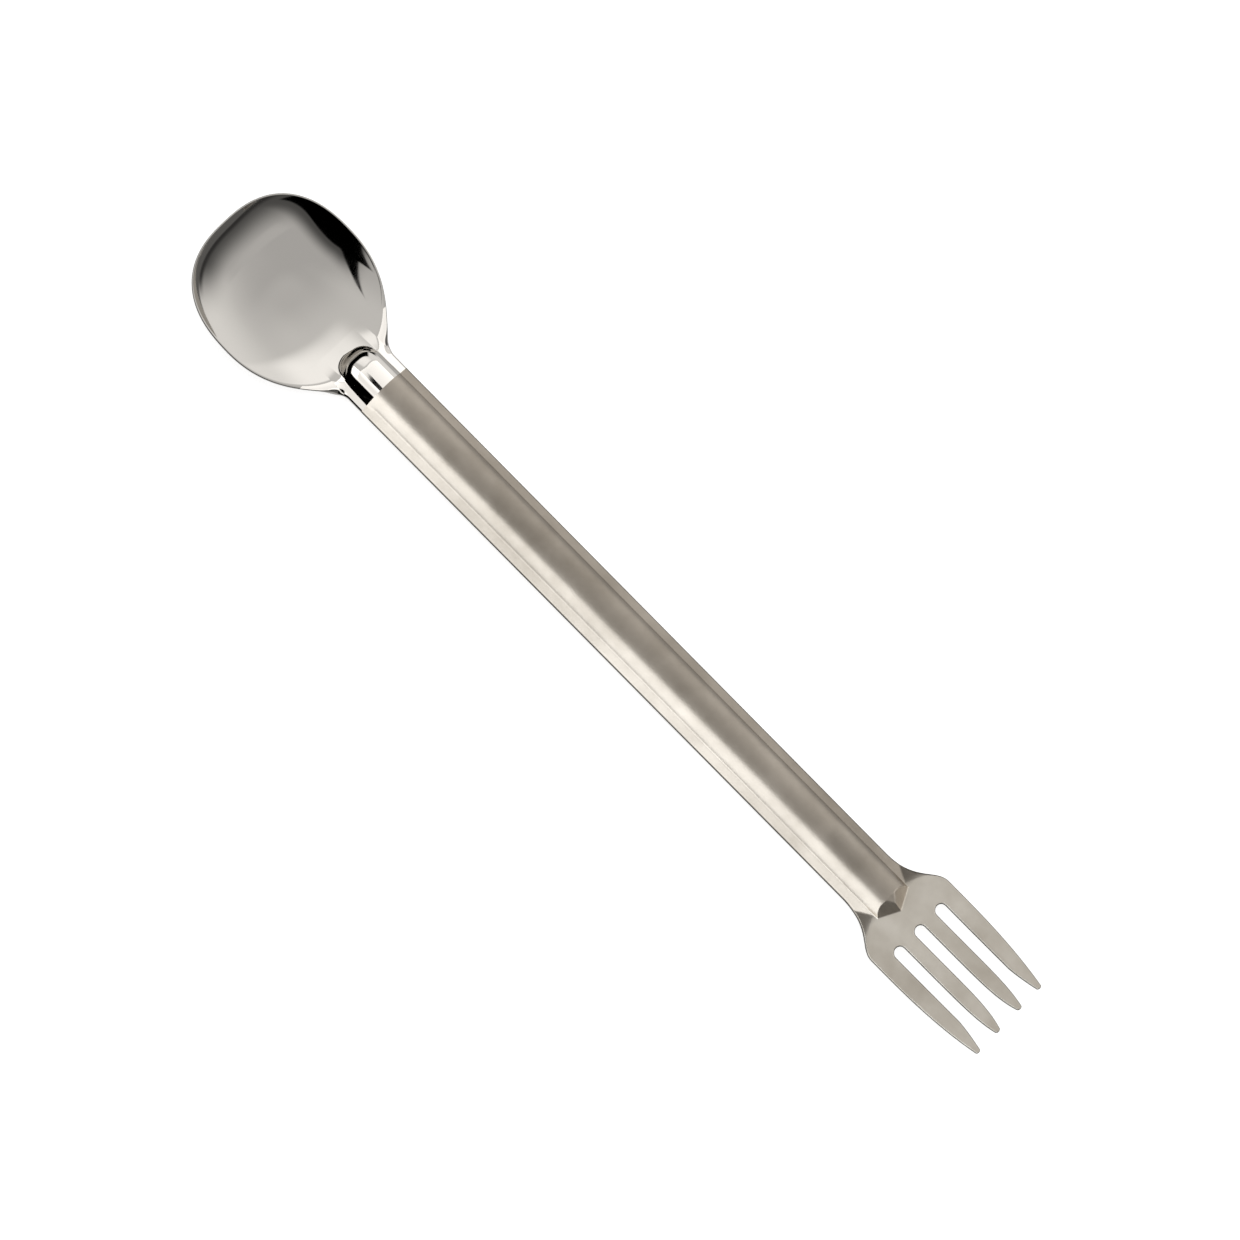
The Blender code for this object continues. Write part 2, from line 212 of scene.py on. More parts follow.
def rim_height(x, y, depth):
    """The flanges, which flatten out and climb as the rim of the bowl."""
    fade = np.clip((x - BOWL_X - FLANGE_START) / (FLANGE_REACH - FLANGE_START), 0, 1)
    slope = FLANGE_SLOPE * fade * fade * (3 - 2 * fade)
    before_bend = BOWL_X + RIM_BEND - x
    climb = smooth_high(RIM_LIFT / RIM_BEND * before_bend, 0 * x, RIM_EASE)
    return flange_height(y, slope, depth) + climb


def wall_height(x, y, depth):
    """The hollow: a flat floor whose wall climbs to the rim by a power of the share."""
    tip_side = x < BOWL_X
    reach = np.where(tip_side, BOWL_TIP_REACH, BOWL_HOLLOW_REACH)
    power = np.where(tip_side, TIP_POWER, HOLLOW_POWER)
    along = np.abs(x - BOWL_X) / reach
    narrowed = NARROWING * half_width(x) + (1 - NARROWING) * BOWL_WIDTH / 2
    across = np.abs(y) / np.where(tip_side, BOWL_WIDTH / 2, narrowed)
    share = (along ** power + across ** TIP_POWER) ** (1 / TIP_POWER)
    climb = np.maximum(share - FLAT_SHARE, 0) / (1 - FLAT_SHARE)
    floor = FLOOR + REST_SLOPE * (x - BOWL_X)
    rise = rim_height(x, y, 0) - floor
    steepness = rise * TIP_POWER * climb ** (TIP_POWER - 1) / (1 - FLAT_SHARE)
    edge_distance = np.maximum(np.hypot(x - BOWL_X, y), SHEET) / np.maximum(share, FLAT_SHARE / 2)
    slope = steepness / edge_distance
    return floor + rise * climb ** TIP_POWER - depth * np.sqrt(1 + slope ** 2 + REST_SLOPE ** 2)


def arch_height(x, y, depth):
    """The arch: an arc across the handle, carried round a blunt nose at the neck."""
    ahead = np.maximum(NOSE_X - x, 0) * ARCH_HALF / NOSE_REACH
    out = (np.abs(y) ** NOSE_POWER + ahead ** NOSE_POWER) ** (1 / NOSE_POWER)
    radius = ARCH_RADIUS - depth
    round_out = np.minimum(out, radius * FOOT_SINE)
    return ARCH_CENTRE + np.sqrt(radius ** 2 - round_out ** 2) - FOOT_SLOPE * (out - round_out)


def hip_height(x, y, depth):
    """The two facets that end the arch at the fork. The second comes to a point."""
    first = CREASE + ARCH_HEIGHT - HIP_SLOPE * (x - ROOT_X + HIP_REACH)
    second = CREASE - TOE_SLOPE * (x - ROOT_X + TOE_REACH) - TOE_POINT_SLOPE * np.abs(y)
    return smooth_low(first - depth * math.hypot(1, HIP_SLOPE),
                      second - depth * math.hypot(1, TOE_SLOPE), HIP_EASE)


def palm_height(x, y, depth):
    """The flanges turn up along two side facets and level out in the fork's palm."""
    fold_x = ROOT_X - FOLD_REACH + FOLD_SKEW * (np.abs(y) - ARCH_HALF)
    facet = CREASE - SIDE_FACET_SLOPE * (fold_x - x) - depth * math.hypot(1, SIDE_FACET_SLOPE)
    flange = flange_height(y, FLANGE_SLOPE, depth)
    return smooth_low(CREASE - depth, smooth_high(flange, facet, FOLD_EASE), FOLD_EASE)


def corner_curl(x, y):
    """How far the neck's two corners curl down: a bell along X times a square law across."""
    bell = np.exp(-((x - BOWL_X - CURL_REACH) / CURL_LENGTH) ** 2)
    near = np.clip((np.abs(y) - half_width(x)) / CURL_MARGIN + 1, 0, 1)
    return CURL_DEPTH * bell * near ** 2


def crease_ease(x, y):
    """How softly the arch meets the flanges: softer on the -Y side of the neck."""
    lengthwise = np.clip((POLISH_X + NECK_EASE_END - x) / NECK_EASE_END, 0, 1)
    sideways = np.clip(0.5 - y / NECK_EASE_WIDTH, 0, 1)
    return CREASE_EASE + (NECK_EASE - CREASE_EASE) * lengthwise * sideways


def sheet_height(x, y, depth):
    """Height of the sheet at plan points, at a depth below its top face."""
    spoon_base = smooth_low(wall_height(x, y, depth), rim_height(x, y, depth), LIP_EASE)
    base = np.where(x < 0, spoon_base - corner_curl(x, y), palm_height(x, y, depth))
    arch = smooth_low(arch_height(x, y, depth), hip_height(x, y, depth), HIP_EASE)
    return smooth_high(base, arch, crease_ease(x, y))


def tine_height(x, y, depth):
    """The tines leave the palm level, rise by a square law and thin to round tips."""
    share = np.clip((x - ROOT_X) / TINE_REACH, 0, 1)
    closing = np.clip((x - LENGTH / 2 + TIP_ROUND) / TIP_ROUND, 0, 1)
    thinning = TIP_THINNING * (1 - np.sqrt(1 - closing ** 2))
    return CREASE + TINE_RISE * share ** 2 - depth + thinning * (2 * depth / SHEET - 1) + 0 * y


def to_world(points):
    """Tilt points of the sheet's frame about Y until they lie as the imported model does."""
    tilt = math.atan(REST_SLOPE)
    flat_height = FLOOR - SHEET * math.hypot(1, REST_SLOPE)
    tip_height = float(sheet_height(np.array(BOWL_X - BOWL_TIP_REACH), np.array(0.0), 0))
    tine_end = float(CREASE + TINE_RISE)
    shift_x = -(tip_height + tine_end) / 2 * math.sin(tilt)
    shift_z = BOWL_X * math.sin(tilt) - flat_height * math.cos(tilt)
    x, y, z = np.moveaxis(np.asarray(points, dtype=float), -1, 0)
    return np.stack((x * math.cos(tilt) + z * math.sin(tilt) + shift_x, y,
                     z * math.cos(tilt) - x * math.sin(tilt) + shift_z), axis=-1)


def steps(start, end, spacing):
    """Evenly spaced values from start to end, no further apart than the spacing."""
    return np.linspace(start, end, int(math.ceil(abs(end - start) / spacing)) + 1)


def outline_slope(x):
    """How fast half the width grows along X."""
    return (half_width(x + NUDGE) - half_width(x - NUDGE)) / (2 * NUDGE)


def patch(x, y, turn, out_x, out_y, radius):
    """One grid of plan points: place, turn of the edge, outward direction and edge radius."""
    values = np.broadcast_arrays(x, y, turn, out_x, out_y, radius)
    return np.stack(values, axis=-1)


def grid_faces(rows, columns, closed=False):
    """Corner numbers of a grid's faces. A closed grid joins its last column to its first."""
    row, column = np.meshgrid(np.arange(rows - 1), np.arange(columns if closed else columns - 1),
                              indexing="ij")
    after = (column + 1) % columns
    corners = (row * columns + column, (row + 1) * columns + column,
               (row + 1) * columns + after, row * columns + after)
    return np.stack(corners, axis=-1).reshape(-1, 4)


def join(patches, more_faces=None):
    """Join grids of plan points into one plan, where points in the same place become one.

    More faces may be given by the numbers of the first grid's points.
    """
    points, faces, first = [], [] if more_faces is None else [more_faces], 0
    for grid, closed in patches:
        faces.append(grid_faces(grid.shape[0], grid.shape[1], closed) + first)
        points.append(grid.reshape(-1, grid.shape[2]))
        first += grid.shape[0] * grid.shape[1]
    points, faces = np.concatenate(points), np.concatenate(faces)
    places = np.round(points[:, :2] / SAME_PLACE).astype(np.int64)
    _, kept, number = np.unique(places, axis=0, return_index=True, return_inverse=True)
    return points[kept], number.reshape(-1)[faces]


def band_rows(x, spacing):
    """A band's plan across the sheet at places x: arch, flanges, and both rounded edges."""
    x = np.asarray(x)[:, None]
    slope = outline_slope(x)
    lean = np.hypot(1, slope)
    half = half_width(x)
    inner = half - EDGE_RADIUS * lean
    widest = float(inner.max()) - ARCH_HALF
    arch = steps(0, ARCH_HALF, spacing)[None, :] + 0 * x
    flange = ARCH_HALF + steps(0, 1, spacing / widest)[None, 1:] * (inner - ARCH_HALF)
    edge = half - EDGE_RADIUS * (1 - np.sin(TURNS[None, 1:])) * lean
    right = np.concatenate((arch, flange, edge), axis=1)
    inside = arch.shape[1] + flange.shape[1]
    turn = np.concatenate((np.zeros(inside), TURNS[1:]))[None, :] + 0 * right
    out_x = np.where(turn > 0, -slope / lean, 0)
    out_y = np.where(turn > 0, 1 / lean, 0)
    right = patch(x, right, turn, out_x, out_y, EDGE_RADIUS)
    left = right[:, :0:-1] * np.array((1, -1, 1, 1, -1, 1))
    return np.concatenate((left, right), axis=1)


def bowl_plan():
    """The bowl's plan: rings that shrink to its middle, and a rounded edge round them.

    The outline is a superellipse at the tip and follows the neck's curve to the seam, where
    the rings end on a straight line that repeats the neck's own points.
    """
    side_x = steps(BOWL_SEAM_X, BOWL_X, SIDE_GRID)[:-1]
    slope = outline_slope(side_x)
    lean = np.hypot(1, slope)
    side = np.stack((side_x, half_width(side_x), 0 * side_x, lean, -slope / lean, 1 / lean), -1)
    angle = np.linspace(0, math.pi, TIP_POINTS)
    across = np.sign(np.cos(angle)) * np.abs(np.cos(angle)) ** (2 / TIP_POWER)
    along = -np.sin(angle) ** (2 / TIP_POWER)
    normal = np.stack((-np.abs(along) ** (TIP_POWER - 1) / BOWL_TIP_REACH,
                       np.sign(across) * np.abs(across) ** (TIP_POWER - 1) / (BOWL_WIDTH / 2)), -1)
    normal /= np.linalg.norm(normal, axis=1, keepdims=True)
    tip = np.stack((BOWL_X + BOWL_TIP_REACH * along, BOWL_WIDTH / 2 * across), -1)
    tip = np.concatenate((tip, normal, normal), axis=1)
    other_side = side[::-1] * np.array((1, -1, 1, -1, 1, -1))
    free = np.concatenate((side, tip, other_side))
    outline, inward, out = free[:, :2], free[:, 2:4], free[:, 4:]

    seam = band_rows([BOWL_SEAM_X], GRID)[0]
    seam = seam[seam[:, 2] == 0][1:-1, :2]
    inner = outline - EDGE_RADIUS * inward
    loop = np.concatenate((inner, seam))
    shares = 1 - (1 - np.linspace(FIRST_RING_SHARE, 1, RING_COUNT)) ** RING_POWER
    rings = np.array((BOWL_X, 0)) + shares[:, None, None] * (loop - np.array((BOWL_X, 0)))
    rings = patch(rings[..., 0], rings[..., 1], 0, 0, 0, EDGE_RADIUS)
    inset = EDGE_RADIUS * (1 - np.sin(TURNS))[:, None, None]
    edge = outline - inset * inward
    turn = TURNS[:, None] + 0 * edge[..., 0]
    edge = patch(edge[..., 0], edge[..., 1], turn, np.where(turn > 0, out[:, 0], 0),
                 np.where(turn > 0, out[:, 1], 0), EDGE_RADIUS)
    step = np.arange(len(loop) // 2 - 1)
    middle = np.stack((step, step + 1, len(loop) - 2 - step, len(loop) - 1 - step), axis=-1)
    return join(((rings, True), (edge, False)), middle)


def slot_places():
    """Middles of the three slots across the fork."""
    return (-TINE_PITCH, 0.0, TINE_PITCH)


def palm_plan():
    """The palm's plan: four lanes that run into the tines, and round edges at the slots.

    A lane's border runs along a slot's middle line and then round the slot's end.
    """
    reach = SLOT_WIDTH / 2 + EDGE_RADIUS
    angle = np.linspace(0, math.pi / 2, ROOT_POINTS)
    x = np.concatenate((steps(PALM_SEAM_X, ROOT_X - reach, 2 * FINE_GRID)[:-1],
                        ROOT_X - reach * np.cos(angle)))
    away = np.concatenate((np.zeros(len(x) - len(angle)), reach * np.sin(angle)))
    slope = outline_slope(x)
    lean = np.hypot(1, slope)
    side = half_width(x) - EDGE_RADIUS * lean
    patches = []
    right, middle, left = slot_places()
    borders = [(-side, right - away), (right + away, middle - away),
               (middle + away, left - away), (left + away, side)]
    share = np.linspace(0, 1, LANE_POINTS)[None, :]
    for low, high in borders:
        y = low[:, None] * (1 - share) + high[:, None] * share
        patches.append((patch(x[:, None] + 0 * y, y, 0, 0, 0, EDGE_RADIUS), False))
    turn = TURNS[None, :]
    inset = EDGE_RADIUS * (1 - np.sin(turn))
    for sign in (1, -1):
        y = sign * (half_width(x)[:, None] - inset * lean[:, None])
        rounded = turn > 0
        edge = patch(x[:, None], y, turn, np.where(rounded, -slope[:, None] / lean[:, None], 0),
                     np.where(rounded, sign / lean[:, None], 0), EDGE_RADIUS)
        patches.append((edge[:, ::sign], False))
    around = np.concatenate((-angle[::-1], angle[1:]))[:, None]
    for middle in slot_places():
        radius = SLOT_WIDTH / 2 + inset
        edge = patch(ROOT_X - radius * np.cos(around), middle + radius * np.sin(around), turn,
                     np.where(turn > 0, np.cos(around), 0), np.where(turn > 0, -np.sin(around), 0),
                     EDGE_RADIUS)
        patches.append((edge[::-1], False))
    return join(patches)


def taper(share, edge, target, start, power):
    """One edge of a tine, turning from its root towards its tip by a power law."""
    turned = np.maximum(share - start, 0) / (1 - start)
    return edge + (target - edge) * turned ** power


def tine_plan(inner_edge, outer_edge, tip_y, tapers, side):
    """A tine's plan: straight lines between its two curved edges, closed round at the tip."""
    share = 1 - (1 - np.linspace(0, 1, TINE_ROWS)) ** TINE_ROW_POWER
    x = ROOT_X + TINE_REACH * share
    round_tip = np.sin(np.linspace(0, TIP_TURN, TIP_ROWS))
    x = np.concatenate((x[x < LENGTH / 2 - TIP_ROUND],
                        LENGTH / 2 - TIP_ROUND * (1 - round_tip)))

    def edges(at):
        along = np.clip((at - ROOT_X) / TINE_REACH, 0, 1)
        closing = np.clip((at - LENGTH / 2 + TIP_ROUND) / TIP_ROUND, 0, 1)
        low = taper(along, inner_edge, tip_y - TIP_WIDTH / 2, *tapers[0])
        high = taper(along, outer_edge, tip_y + TIP_WIDTH / 2, *tapers[1])
        middle, half = (low + high) / 2, (high - low) / 2 * np.sqrt(1 - closing ** 2)
        return middle - half, middle + half

    low, high = edges(x)
    low_slope, high_slope = [(after - before) / (2 * NUDGE)
                             for after, before in zip(edges(x + NUDGE), edges(x - NUDGE))]
    radius = np.minimum(EDGE_RADIUS, TINE_EDGE_SHARE * (high - low))
    low_lean = np.minimum(np.hypot(1, low_slope), STEEPEST_LEAN)
    high_lean = np.minimum(np.hypot(1, high_slope), STEEPEST_LEAN)
    inset = radius[:, None] * (1 - np.sin(TURNS))[None, :]
    low_edge = low[:, None] + inset * low_lean[:, None]
    high_edge = high[:, None] - inset * high_lean[:, None]
    across = np.linspace(0, 1, LANE_POINTS)[None, :]
    middle = low_edge[:, :1] * (1 - across) + high_edge[:, :1] * across
    y = np.concatenate((low_edge[:, :0:-1], middle, high_edge[:, 1:]), axis=1)
    turn = np.concatenate((TURNS[:0:-1], 0 * across[0], TURNS[1:]))[None, :]
    low_count, high_first = len(TURNS) - 1, len(TURNS) - 1 + across.shape[1]
    column = np.arange(y.shape[1])[None, :]
    slope = np.where(column < low_count, -low_slope[:, None],
                     np.where(column >= high_first, high_slope[:, None], 0))
    facing = np.where(column < low_count, -1, np.where(column >= high_first, 1, 0))
    length = np.hypot(1, slope)
    out_x = np.where(facing != 0, -slope / length, 0)
    grid = patch(x[:, None], side * y, turn, out_x, side * facing / length, radius[:, None])
    return join(((grid[:, ::side], False),))


def surface_normals(height, x, y, depth, upward):
    """Normals of one face of the sheet, from its slopes along X and Y."""
    along = (height(x + NUDGE, y, depth) - height(x - NUDGE, y, depth)) / (2 * NUDGE)
    across = (height(x, y + NUDGE, depth) - height(x, y - NUDGE, depth)) / (2 * NUDGE)
    normals = np.stack((-along, -across, np.ones_like(along)), axis=-1) * upward
    return normals / np.linalg.norm(normals, axis=1, keepdims=True)


def painted_plate_light_share(x, y):
    """Where the fork's level plate is, which takes a painted light: 0 on the arch, flanges and
    facets, 1 on the plate.
    """
    palm = palm_height(x, y, 0)
    arch = smooth_low(arch_height(x, y, 0), hip_height(x, y, 0), HIP_EASE)
    off_arch = np.clip((palm - arch) / CREASE_EASE + 0.5, 0, 1)
    level = np.clip((palm - CREASE) / PLATE_DROP + (1 + PLATE_MARGIN_SHARE), 0, 1)
    return off_arch * level * np.clip((x - ROOT_X + HIP_REACH) / PLATE_FADE, 0, 1)


def formed_sheet(name, plan, height, material):
    """Make a closed piece of sheet over a plan.

    Both faces are heights over the plan. Near a cut edge each face drops by the edge radius
    times one minus the cosine of the turn, and its normal turns from the face's own towards
    the outward direction. Borders of the plan become walls between the two faces. A wall at
    a seam stands square, and a wall between two rounded edges carries on their normals.
    """
    points, faces = plan
    x, y, turn, out_x, out_y, radius = points.T
    drop = radius * (1 - np.cos(turn))
    count = len(points)
    corners, normals = [], []
    for depth, upward in ((0, 1), (SHEET, -1)):
        corners.append(np.stack((x, y, height(x, y, depth) - upward * drop), axis=-1))
        face = surface_normals(height, x, y, depth, upward) * np.cos(turn)[:, None]
        outward = np.stack((out_x, out_y, 0 * x), axis=-1) * np.sin(turn)[:, None]
        total = face + outward
        normals.append(total / np.linalg.norm(total, axis=1, keepdims=True))
    corners, normals = np.concatenate(corners), np.concatenate(normals)

    starts, ends = faces.reshape(-1), np.roll(faces, -1, axis=1).reshape(-1)
    border = ~np.isin(starts * count + ends, ends * count + starts)
    starts, ends = starts[border], ends[border]
    walls = np.stack((starts, starts + count, ends + count, ends), axis=-1)
    quads = np.concatenate((faces, faces[:, ::-1] + count, walls))

    loop_normals = normals[quads]
    cut = (turn[starts] < 1) | (turn[ends] < 1)
    sides = corners[walls[cut]]
    square = np.cross(sides[:, 1] - sides[:, 0], sides[:, 3] - sides[:, 0])
    square /= np.linalg.norm(square, axis=1, keepdims=True)
    loop_normals[len(faces) * 2:][cut] = square[:, None, :]

    mesh = bpy.data.meshes.new(name)
    mesh.from_pydata(to_world(corners), [], quads)
    mesh.shade_smooth()
    tilt = Matrix.Rotation(math.atan(REST_SLOPE), 3, "Y")
    turned = loop_normals.reshape(-1, 3) @ np.array(tilt).T
    # Share of the turn round the cut edge, where a painted shade darkens the edge
    edge_shade = mesh.attributes.new("painted_edge_shade", "FLOAT", "POINT")
    edge_shade.data.foreach_set("value", np.tile(np.sin(turn), 2).astype(np.float32))
    # Where the fork's level plate is, for the painted light that tints it paler
    plate = mesh.attributes.new("plate", "FLOAT", "POINT")
    plate.data.foreach_set("value", np.tile(painted_plate_light_share(x, y), 2).astype(np.float32))
    mesh.normals_split_custom_set(turned)
    mesh.materials.append(material)
    piece = bpy.data.objects.new(name, mesh)
    bpy.context.scene.collection.objects.link(piece)
    return piece


def colour(code):
    """Turn an sRGB hex code into the linear colour that shaders take."""
    values = (int(code[place:place + 2], 16) / 255 for place in (1, 3, 5))
    return (*(value / 12.92 if value <= 0.04045 else ((value + 0.055) / 1.055) ** 2.4
              for value in values), 1)


def node(tree, kind, settings=None, inputs=None):
    """Add a node with its settings and inputs. An input given as a socket is linked."""
    made = tree.nodes.new(kind)
    for name, value in (settings or {}).items():
        setattr(made, name, value)
    for name, value in (inputs or {}).items():
        if isinstance(value, bpy.types.NodeSocket):
            tree.links.new(value, made.inputs[name])
        else:
            made.inputs[name].default_value = value
    return made


def metal(name):
    """A bare metal, with the tree and the shader that its finish is made in."""
    material = bpy.data.materials.new(name)
    material.use_nodes = True
    shader = material.node_tree.nodes["Principled BSDF"]
    shader.inputs["Metallic"].default_value = 1
    return material, material.node_tree, shader


def polished_titanium():
    """Titanium buffed to a mirror: a light grey, with a faint haze and a slight swell."""
    material, tree, shader = metal("buffed_titanium")
    shader.inputs["Base Color"].default_value = colour("#cecac4")
    place = node(tree, "ShaderNodeTexCoord").outputs["Object"]
    haze = node(tree, "ShaderNodeTexNoise", None,
                {"Vector": place, "Scale": 1 / (5 * MM), "Detail": 3.0, "Roughness": 0.6})
    rough = node(tree, "ShaderNodeMapRange", None,
                 {"Value": haze.outputs["Fac"], "From Min": 0.35, "From Max": 0.7,
                  "To Min": 0.035, "To Max": 0.075})
    tree.links.new(rough.outputs["Result"], shader.inputs["Roughness"])
    swell = node(tree, "ShaderNodeTexNoise", None,
                 {"Vector": place, "Scale": 1 / (6 * MM), "Detail": 1.0})
    relief = node(tree, "ShaderNodeBump", None,
                  {"Strength": 1.0, "Distance": 0.004 * MM, "Height": swell.outputs["Fac"]})
    tree.links.new(relief.outputs["Normal"], shader.inputs["Normal"])
    return material


def blasted_titanium():
    """Titanium blasted with fine beads: a warm matt grey, a little mottled and gritty.

    The fork's plate is tinted paler than the arch and flanges, a painted light for the light the
    level plate catches, and the cut edges are darkened, a painted shade for the dark reflection
    along their rounds. Clouds are drawn out along the handle. The beads' pits are finer than a
    render shows, so the grit is drawn at 0.35 mm.
    """
    material, tree, shader = metal("bead_blasted_titanium")
    place = node(tree, "ShaderNodeTexCoord").outputs["Object"]
    mottle = node(tree, "ShaderNodeTexNoise", None,
                  {"Vector": place, "Scale": 1 / (7 * MM), "Detail": 3.0, "Roughness": 0.6})
    drawn = node(tree, "ShaderNodeMapping", None, {"Vector": place, "Scale": (0.45, 1.0, 1.0)})
    clouds = node(tree, "ShaderNodeTexNoise", None,
                  {"Vector": drawn.outputs["Vector"], "Scale": 1 / (11 * MM), "Detail": 2.0})
    blend = node(tree, "ShaderNodeMix", {"data_type": "FLOAT"},
                 {"Factor": 0.6, "A": mottle.outputs["Fac"], "B": clouds.outputs["Fac"]})
    patchy = node(tree, "ShaderNodeMapRange", None,
                  {"Value": blend.outputs["Result"], "From Min": 0.35, "From Max": 0.65})
    handle = node(tree, "ShaderNodeMix", {"data_type": "RGBA"},
                  {"Factor": patchy.outputs["Result"], "A": colour("#958c80"),
                   "B": colour("#b1a89c")})
    # Painted light: the level plate gets a paler tint that stands in for the brighter light it
    # catches
    fork = node(tree, "ShaderNodeMix", {"data_type": "RGBA"},
                {"Factor": patchy.outputs["Result"], "A": colour("#c3baac"),
                 "B": colour("#e6dfd3")})
    plate = node(tree, "ShaderNodeAttribute", {"attribute_name": "plate"})
    tint = node(tree, "ShaderNodeMix", {"data_type": "RGBA"},
                {"Factor": plate.outputs["Fac"], "A": handle.outputs["Result"],
                 "B": fork.outputs["Result"]})
    # Painted shade: the cut edges are darkened to stand in for the dark reflection their rounds show
    edge_shade = node(tree, "ShaderNodeAttribute", {"attribute_name": "painted_edge_shade"})
    cut = node(tree, "ShaderNodeMapRange", {"interpolation_type": "SMOOTHSTEP"},
               {"Value": edge_shade.outputs["Fac"], "From Min": 0.2, "From Max": 0.8, "To Max": 0.9})
    tint = node(tree, "ShaderNodeMix", {"data_type": "RGBA"},
                {"Factor": cut.outputs["Result"], "A": tint.outputs["Result"],
                 "B": colour("#3c3831")})
    tree.links.new(tint.outputs["Result"], shader.inputs["Base Color"])
    grit = node(tree, "ShaderNodeTexNoise", None,
                {"Vector": place, "Scale": 1 / (0.35 * MM), "Detail": 2.0, "Roughness": 0.7})
    rough = node(tree, "ShaderNodeMapRange", None,
                 {"Value": grit.outputs["Fac"], "From Min": 0.3, "From Max": 0.7,
                  "To Min": 0.31, "To Max": 0.41})
    tree.links.new(rough.outputs["Result"], shader.inputs["Roughness"])
    relief = node(tree, "ShaderNodeBump", None,
                  {"Strength": 1.0, "Distance": 0.003 * MM, "Height": grit.outputs["Fac"]})
    tree.links.new(relief.outputs["Normal"], shader.inputs["Normal"])
    return material


# The studio round the object, drawn in the world by direction. A card without a slant has
# degrees of azimuth from +X towards +Y, and of tilt down from straight above. A card with a
# slant has degrees towards +X, and of lean towards -Y less the slant times those. Each pair
# of limits has its softness, and the radiance comes last.
CEILING = 0.59
STUDIO_CARDS = (
    (None, (110, 235, 25), (16, 180, 14), 0.80),     # pale end wall
    (None, (30, 200, 40), (32, 180, 30), 0.84),      # bright side
    (None, (47, 128, 20), (62, 180, 22), 1.04),      # its foot
    (0.0, (35, 52, 2.5), (-35, 35, 12), 0.64),       # pale band
    (None, (-56, 56, 26), (66, 180, 22), 0.10),      # dim end
    (0.32, (-14, 90, 8), (36, 180, 9), 0.10),        # dim side
    (0.33, (-3.5, 80, 0.8), (46.8, 180, 0.8), 0.0),  # black flag
    (0.0, (-95, -25.5, 3), (-95, -7, 5), 1.12),      # white card
    (0.0, (-95, -26, 3), (-48, -9, 12), 1.40),       # its brighter middle
    (None, (128, 232, 5), (64, 104, 2), 0.0),        # black end
    (None, (-135, -58, 5), (70, 92, 2), 0.0),        # black foot of the dim side
    (None, (-56, 56, 12), (86, 91, 2.5), 0.04),      # dark line on the horizon
    (None, (104, 300, 6), (90.5, 180, 0.5), 0.0),    # black below the table's height
    (None, (-60, 76, 6), (90.5, 180, 0.5), 0.14),    # dark grey there under the dim end
    (None, (76, 104, 6), (103, 180, 2), 0.6),        # grey well below the bright side
    (None, (-200, 200, 10), (132, 200, 6), 0.5),     # grey table, far below on every side
)
# The flag's end has two prongs, each a patch whose corners are listed clockwise, in those
# degrees towards +X and of lean. Their ease is in degrees too.
FLAG_PRONGS = (
    ((-2.5, 46.2), (-24.4, 21.7), (-9.8, 56.0), (-2.5, 56.0)),
    ((-2.5, 45.6), (-22.0, 45.2), (-2.5, 64.0)),
)
PRONG_EASE = 0.5

# Floor, and the two cards near the object by their corners
FLOOR_HALF = 3.0
FLOOR_LIFT = 0.75               # glow that takes the floor to white for the camera
RIDGE_CARD = ((-0.07537, -0.0456, 0.0967), (-0.07537, -0.0076, 0.0967),
              (-0.07203, -0.0134, 0.1133), (-0.07203, -0.0514, 0.1133))
FORK_CARD = ((0.058, -0.06, 0.012), (0.058, 0.06, 0.012),
             (0.058, 0.06, 0.05), (0.058, -0.06, 0.05))


